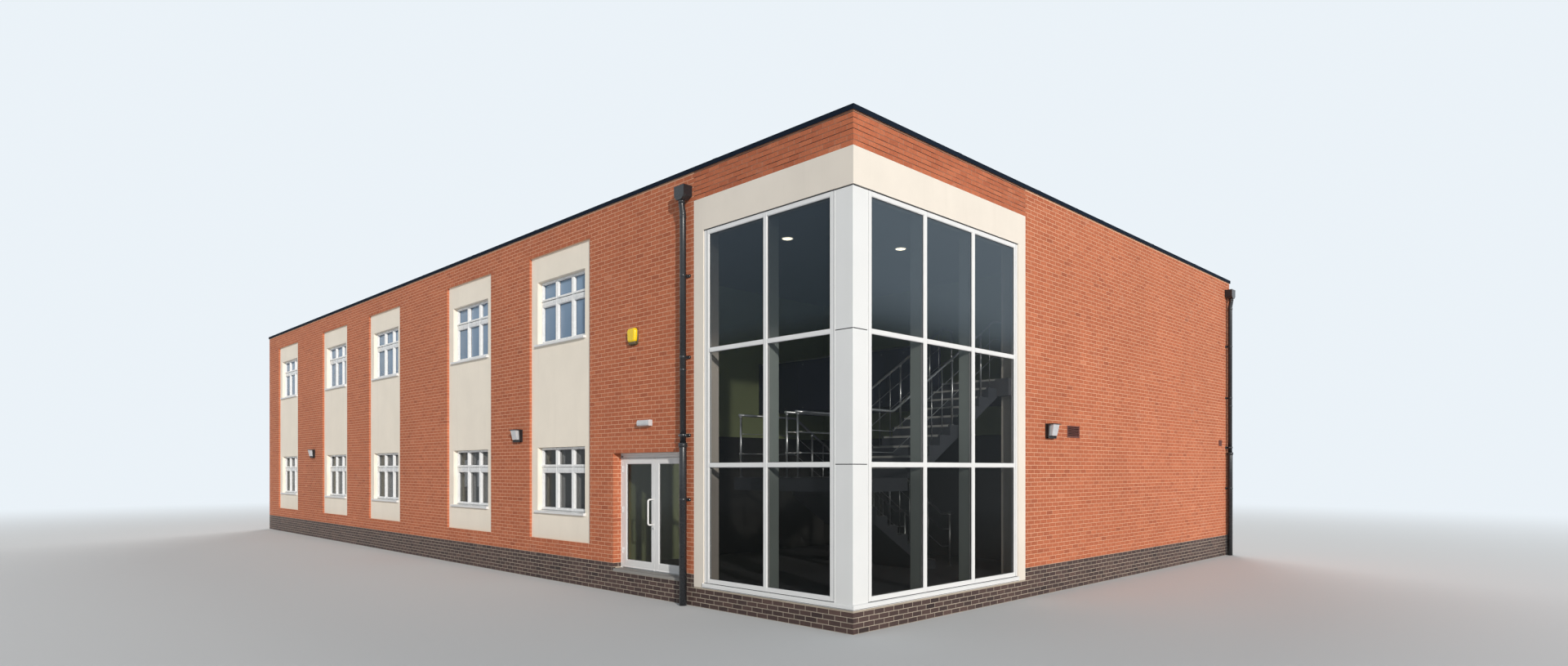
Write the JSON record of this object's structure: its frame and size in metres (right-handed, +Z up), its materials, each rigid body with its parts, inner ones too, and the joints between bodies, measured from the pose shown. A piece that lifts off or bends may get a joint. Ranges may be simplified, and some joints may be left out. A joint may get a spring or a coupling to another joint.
{
  "type": "school building",
  "caption": "Two-storey brick school block with rendered window strips, a glazed double-height stair corner, hinged entrance doors, parapet coping and rainwater pipes.",
  "frame": {"origin": "centre of the rectangular plan at ground level, on the underside of the floor slab", "axes": "+Z up; the long front with the entrance faces -Y; the glazed corner is at +X, -Y and the blank brick side faces +X"},
  "size_m": [29.01, 15.51, 7.225],
  "materials": {
    "red_brick": "matt fired clay brick with pinkish beige joints",
    "dark_brick": "semi-matt dark plum brick with grey joints",
    "cream_render": "matt fine-grained render",
    "coping_metal": "satin dark blue-grey powder coat",
    "floor_screed": "matt floor covering",
    "stair_concrete": "matt dark stair covering",
    "nosing_strip": "matt pale strip",
    "roof_membrane": "matt grey sheet membrane",
    "green_plaster": "matt painted plaster",
    "ceiling_white": "matt white board",
    "lamp_white": "satin diffuser in a white rim",
    "dark_fascia": "satin dark blue panel",
    "rail_steel": "brushed",
    "window_white": "satin white",
    "window_glass": "clear with a faint grey tint",
    "sill_white": "satin white",
    "corner_white": "satin white powder coat",
    "corner_glass": "clear with a faint green-grey tint",
    "post_white": "satin white powder coat",
    "mullion_grey": "satin grey-green",
    "door_white": "satin white powder coat",
    "door_glass": "clear with a faint grey tint",
    "pull_white": "semi-gloss white",
    "rain_black": "semi-gloss black",
    "light_black": "matt black",
    "lens_clear": "prismatic clear",
    "door_light_white": "satin opal white",
    "alarm_base_dark": "matt dark grey",
    "alarm_yellow": "gloss yellow",
    "vent_brown": "matt red-brown"
  },
  "bodies": {
    "building": {"front_wall": "red_brick", "door_head_wall": "red_brick", "door_pier": "red_brick", "side_wall": "red_brick", "back_wall": "red_brick", "end_wall": "red_brick", "corner_parapet": "red_brick", "plinth_front": "dark_brick", "plinth_side": "dark_brick", "plinth_back": "dark_brick", "plinth_end": "dark_brick", "corner_base": "dark_brick", "surround_jambs": "cream_render", "surround_band": "cream_render", "render_strips": "cream_render", "coping": "coping_metal", "ground_floor": "floor_screed", "first_floor": "floor_screed", "half_landing": "stair_concrete", "stair_flights": "stair_concrete", "stair_nosings": "nosing_strip", "roof_deck": "roof_membrane", "hall_side_partition": "green_plaster", "hall_back_partition": "green_plaster", "hall_ceiling": "ceiling_white", "downlights": "lamp_white", "landing_fascia": "dark_fascia", "stair_rails": "rail_steel", "window_frames": "window_white", "window_glass": "window_glass", "window_sills": "sill_white", "corner_frames": "corner_white", "corner_glass": "corner_glass", "corner_post": "post_white", "corner_sill": "corner_white", "inner_mullions": "mullion_grey", "door_frame": "door_white", "rainwater_hoppers": "rain_black", "downpipes": "rain_black", "pipe_brackets": "rain_black", "wall_lights": "light_black", "light_lenses": "lens_clear", "door_light": "door_light_white", "alarm_base": "alarm_base_dark", "alarm_cover": "alarm_yellow", "wall_vents": "vent_brown"},
    "left_door": {"left_leaf": "door_white", "left_leaf_glass": "door_glass", "door_pulls": "pull_white"},
    "right_door": {"right_leaf": "door_white", "right_leaf_glass": "door_glass"}
  },
  "joints": [
    {"name": "left_door_hinge", "type": "hinge", "parent": "building", "child": "left_door", "pos_m": [8.6625, -7.48, 1.5], "axis": [0, 0, -1], "range_deg": [0, 90]},
    {"name": "right_door_hinge", "type": "hinge", "parent": "building", "child": "right_door", "pos_m": [10.6375, -7.48, 1.5], "axis": [0, 0, 1], "range_deg": [0, 90]}
  ]
}
